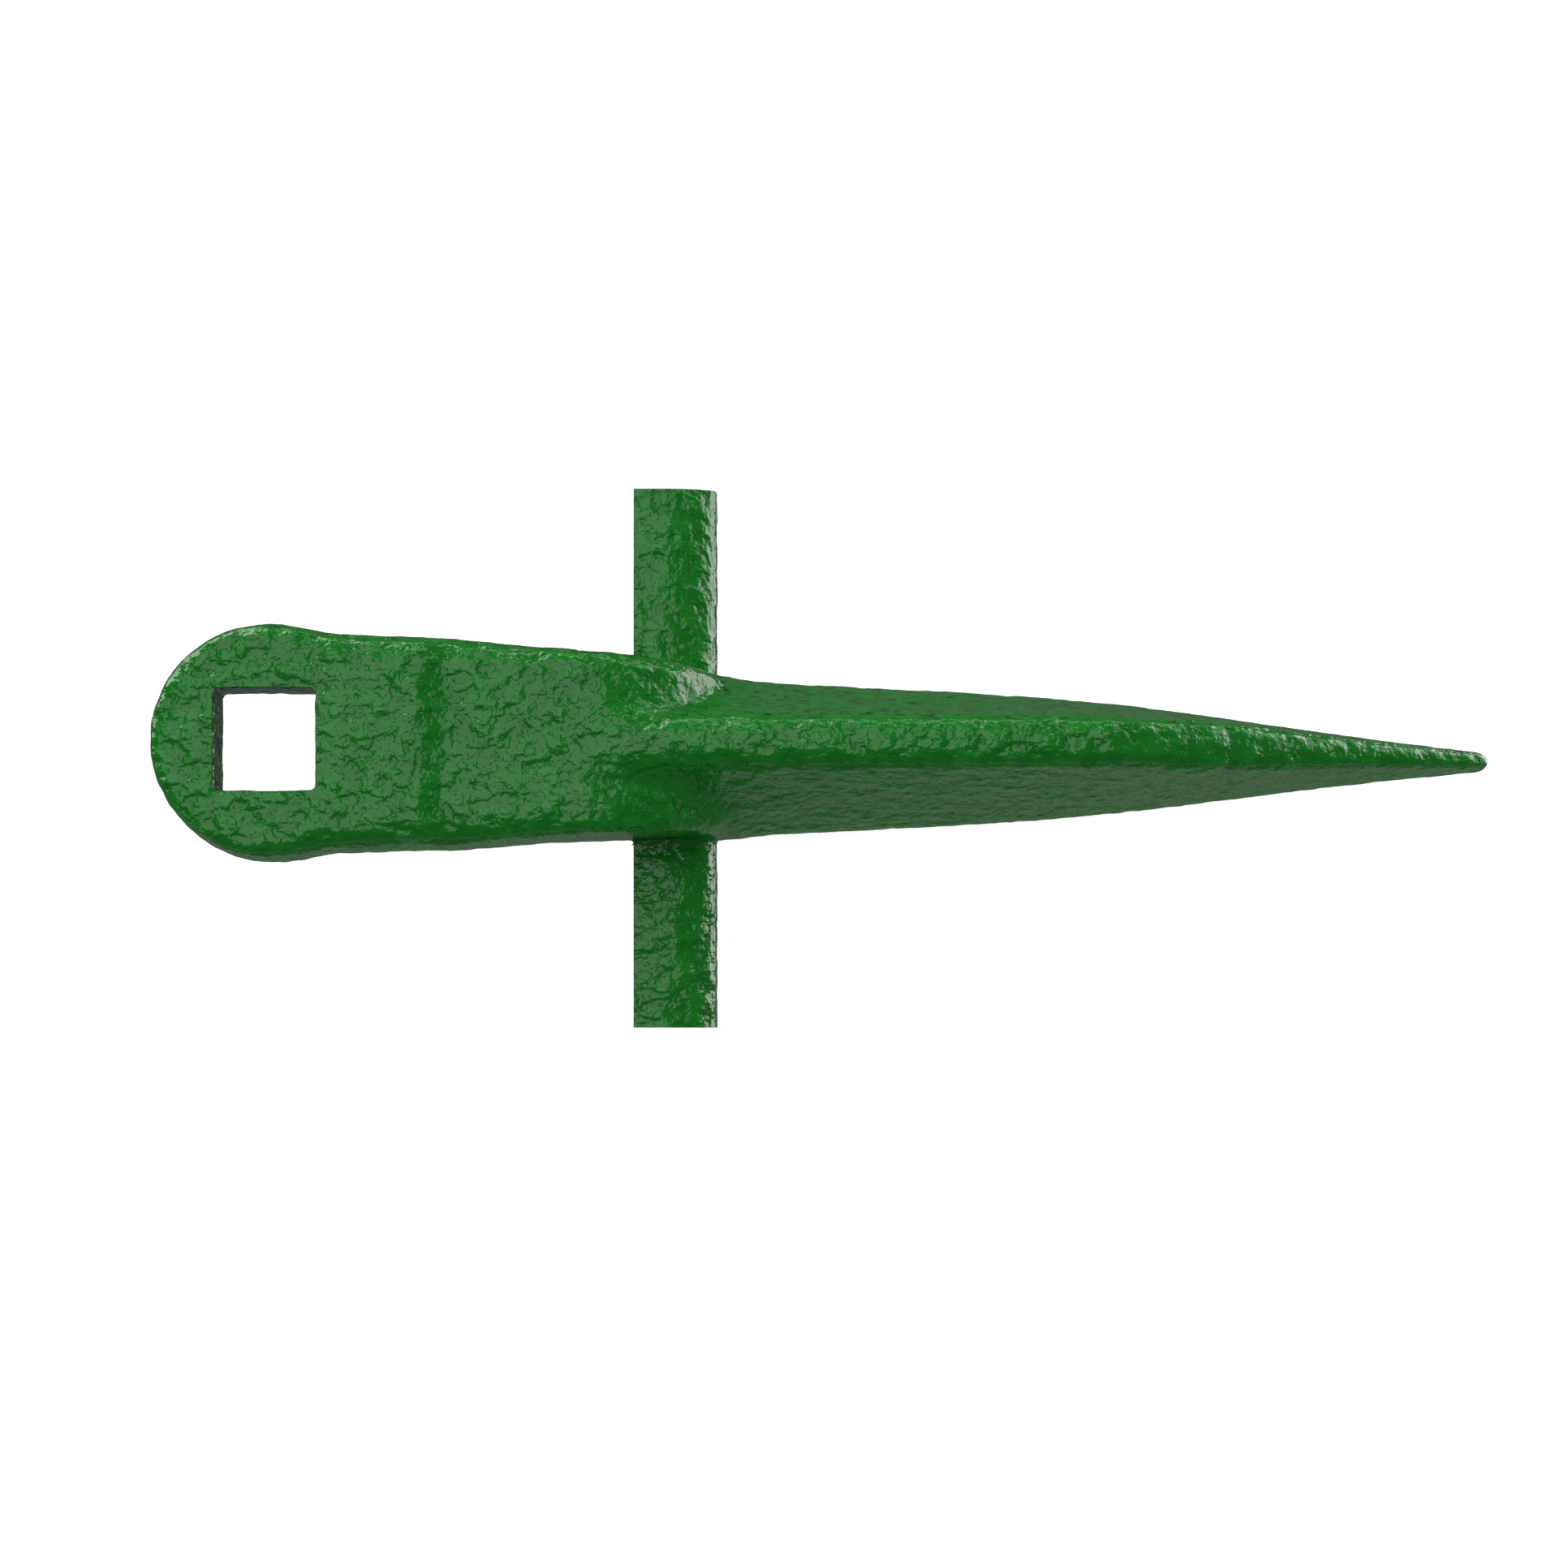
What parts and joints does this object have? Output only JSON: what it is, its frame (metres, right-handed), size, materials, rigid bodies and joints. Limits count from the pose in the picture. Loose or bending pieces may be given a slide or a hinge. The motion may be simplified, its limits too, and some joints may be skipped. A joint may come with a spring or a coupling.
{
  "type": "mower guard",
  "caption": "Sickle-bar mower guard: pointed forged finger with side wings, a square-holed bolt tongue, and a riveted ledger plate under the knife lip.",
  "frame": {"origin": "centre of the square bolt hole, on the tongue's knife-side face, where the cutter bar sits and the guard bolt holds the guard", "axes": "+X along the finger from the bolt hole to the point, +Y across the wings, +Z out of the underside of the guard, the side that faces the ground on a mower; the guard is stored underside up"},
  "size_m": [0.1859, 0.0762, 0.04],
  "materials": {
    "green_paint": "gloss paint over a rough forged or cast surface",
    "ledger_steel": "hardened and ground",
    "rivet_steel": "plain"
  },
  "bodies": {
    "root": {"guard_body": "green_paint", "ledger_plate": "ledger_steel", "ledger_rivet_rear": "rivet_steel", "ledger_rivet_front": "rivet_steel"}
  },
  "joints": []
}
